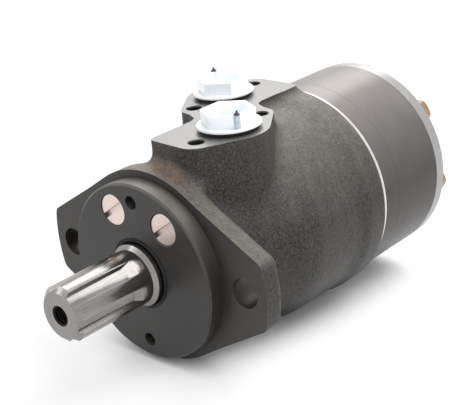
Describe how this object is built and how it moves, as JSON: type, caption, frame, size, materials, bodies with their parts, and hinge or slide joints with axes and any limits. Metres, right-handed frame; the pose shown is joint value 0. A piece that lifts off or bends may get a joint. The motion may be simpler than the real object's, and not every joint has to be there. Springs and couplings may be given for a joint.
{
  "type": "orbital hydraulic motor",
  "caption": "Orbital hydraulic motor: cast body with oval flange, splined output shaft, raised port block with capped ports, and a round gerotor stack held by end bolts.",
  "frame": {"origin": "middle of the mounting flange's front face, on the shaft's axis", "axes": "-Y along the output shaft, +Z out of the port face, +X to the right seen from the shaft's side"},
  "size_m": [0.13, 0.2197, 0.1178],
  "materials": {
    "cast_body": "grey iron as cast, grainy, with milled faces on the flange and the ports",
    "turned_dark_steel": "dark oiled steel with fine turning marks",
    "black_rubber": "matte nitrile rubber",
    "black_steel": "black oxide",
    "pale_zinc": "pale, slightly pink zinc plating",
    "bright_steel": "ground and hardened steel",
    "brass_cage": "pressed brass",
    "ground_shaft": "bright ground steel",
    "forged_steel": "hardened steel",
    "ground_dark_steel": "dark ground steel",
    "end_cover_steel": "turned steel",
    "yellow_zinc": "yellow passivated zinc",
    "white_plastic": "soft white polyethylene",
    "blue_grey_plastic": "blue-grey plastic",
    "copper_washer": "soft copper"
  },
  "bodies": {
    "casing": {"housing": "cast_body", "front_cover": "turned_dark_steel", "dust_seal": "black_rubber", "shaft_seal": "black_rubber", "cover_o_ring": "black_rubber", "cover_screws": "black_steel", "check_plugs": "pale_zinc", "thrust_race_front": "bright_steel", "housing_o_ring": "black_rubber", "distributor_plate": "ground_dark_steel", "plate_o_ring": "black_rubber", "gerotor_ring": "ground_dark_steel", "end_o_ring": "black_rubber", "end_cover": "end_cover_steel", "end_bolts": "yellow_zinc", "end_washers": "yellow_zinc", "drain_plug": "yellow_zinc", "drain_washer": "copper_washer"},
    "shaft": {"output_shaft": "ground_shaft", "thrust_race_rear": "bright_steel"},
    "bearing": {"thrust_cage": "brass_cage", "thrust_needles": "bright_steel"},
    "orbit": {"cardan_spacer": "bright_steel"},
    "star": {"star_rotor": "bright_steel"},
    "cardan": {"cardan_shaft": "forged_steel"},
    "roller_body_1": {"roller_1": "bright_steel"},
    "roller_body_2": {"roller_2": "bright_steel"},
    "roller_body_3": {"roller_3": "bright_steel"},
    "roller_body_4": {"roller_4": "bright_steel"},
    "roller_body_5": {"roller_5": "bright_steel"},
    "roller_body_6": {"roller_6": "bright_steel"},
    "roller_body_7": {"roller_7": "bright_steel"},
    "ball_right": {"check_ball_right": "bright_steel"},
    "ball_left": {"check_ball_left": "bright_steel"},
    "cap_front": {"port_cap_front": "white_plastic", "cap_ring_front": "black_rubber", "cap_pin_front": "blue_grey_plastic"},
    "cap_rear": {"port_cap_rear": "white_plastic", "cap_ring_rear": "black_rubber", "cap_pin_rear": "blue_grey_plastic"}
  },
  "joints": [
    {"name": "shaft_spin", "type": "hinge", "parent": "casing", "child": "shaft", "pos_m": [0, 0, 0], "axis": [0, -1, 0], "continuous": true},
    {"name": "rotor_orbit", "type": "hinge", "parent": "casing", "child": "orbit", "pos_m": [0, 0.1351, 0], "axis": [0, -1, 0], "continuous": true},
    {"name": "star_spin", "type": "hinge", "parent": "orbit", "child": "star", "pos_m": [0, 0.1351, -0.00265], "axis": [0, -1, 0], "continuous": true},
    {"name": "cardan_spin", "type": "hinge", "parent": "orbit", "child": "cardan", "pos_m": [0, 0.036, 0], "axis": [0, -0.9996, 0.0267], "continuous": true},
    {"name": "bearing_spin", "type": "hinge", "parent": "casing", "child": "bearing", "pos_m": [0, 0.01275, 0], "axis": [0, -1, 0], "continuous": true},
    {"name": "roller_1_spin", "type": "hinge", "parent": "casing", "child": "roller_body_1", "pos_m": [0, 0.1351, -0.0276], "axis": [0, -1, 0], "continuous": true},
    {"name": "roller_2_spin", "type": "hinge", "parent": "casing", "child": "roller_body_2", "pos_m": [0.02158, 0.1351, -0.01721], "axis": [0, -1, 0], "continuous": true},
    {"name": "roller_3_spin", "type": "hinge", "parent": "casing", "child": "roller_body_3", "pos_m": [0.02691, 0.1351, 0.00614], "axis": [0, -1, 0], "continuous": true},
    {"name": "roller_4_spin", "type": "hinge", "parent": "casing", "child": "roller_body_4", "pos_m": [0.01198, 0.1351, 0.02487], "axis": [0, -1, 0], "continuous": true},
    {"name": "roller_5_spin", "type": "hinge", "parent": "casing", "child": "roller_body_5", "pos_m": [-0.01198, 0.1351, 0.02487], "axis": [0, -1, 0], "continuous": true},
    {"name": "roller_6_spin", "type": "hinge", "parent": "casing", "child": "roller_body_6", "pos_m": [-0.02691, 0.1351, 0.00614], "axis": [0, -1, 0], "continuous": true},
    {"name": "roller_7_spin", "type": "hinge", "parent": "casing", "child": "roller_body_7", "pos_m": [-0.02158, 0.1351, -0.01721], "axis": [0, -1, 0], "continuous": true},
    {"name": "ball_right_slide", "type": "slide", "parent": "casing", "child": "ball_right", "axis": [0, -1, 0], "range_m": [0, 0.001]},
    {"name": "ball_left_slide", "type": "slide", "parent": "casing", "child": "ball_left", "axis": [0, -1, 0], "range_m": [0, 0.001]},
    {"name": "cap_front_unscrew", "type": "slide", "parent": "casing", "child": "cap_front", "axis": [0, 0, 1], "range_m": [0, 0.016]},
    {"name": "cap_rear_unscrew", "type": "slide", "parent": "casing", "child": "cap_rear", "axis": [0, 0, 1], "range_m": [0, 0.016]}
  ],
  "couplings": [
    {"joint": "rotor_orbit", "follows": "shaft_spin", "ratio": -6},
    {"joint": "star_spin", "follows": "shaft_spin", "ratio": 7},
    {"joint": "cardan_spin", "follows": "shaft_spin", "ratio": 7},
    {"joint": "bearing_spin", "follows": "shaft_spin", "ratio": 0.5}
  ]
}
